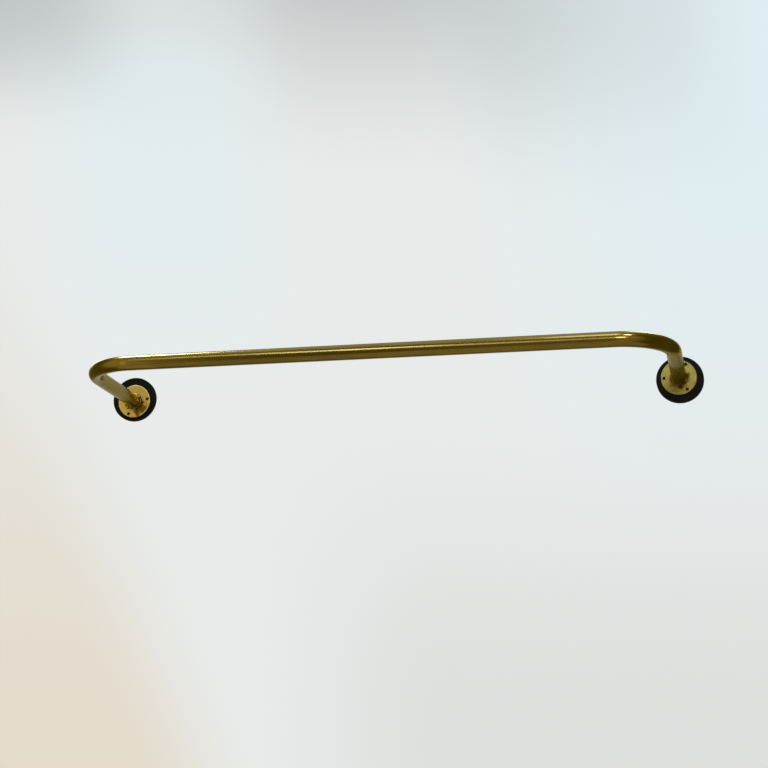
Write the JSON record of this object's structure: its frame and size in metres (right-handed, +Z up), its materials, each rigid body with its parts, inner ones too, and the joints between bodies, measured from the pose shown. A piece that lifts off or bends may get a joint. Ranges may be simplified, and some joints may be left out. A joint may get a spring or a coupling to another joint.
{
  "type": "wall-mounted clothes rail",
  "caption": "Wall-mounted clothes rail: a brass tube bent into a wide U, brazed at each end to a round flange on a thick black wall disc.",
  "frame": {"origin": "on the wall plane, midway between the axes of the two arms and level with the tube's axis", "axes": "+X along the bar to the right as seen from the room, +Y into the wall, +Z up"},
  "size_m": [1.0579, 0.279, 0.0873],
  "materials": {
    "tube_brass": "polished, lightly toned by age",
    "flange_brass": "satin",
    "braze": "as brazed, tarnished",
    "disc_black": "satin black lacquer"
  },
  "bodies": {
    "root": {"rail_tube": "tube_brass", "left_flange": "flange_brass", "right_flange": "flange_brass", "left_braze_bead": "braze", "right_braze_bead": "braze", "left_wall_disc": "disc_black", "right_wall_disc": "disc_black"}
  },
  "joints": []
}
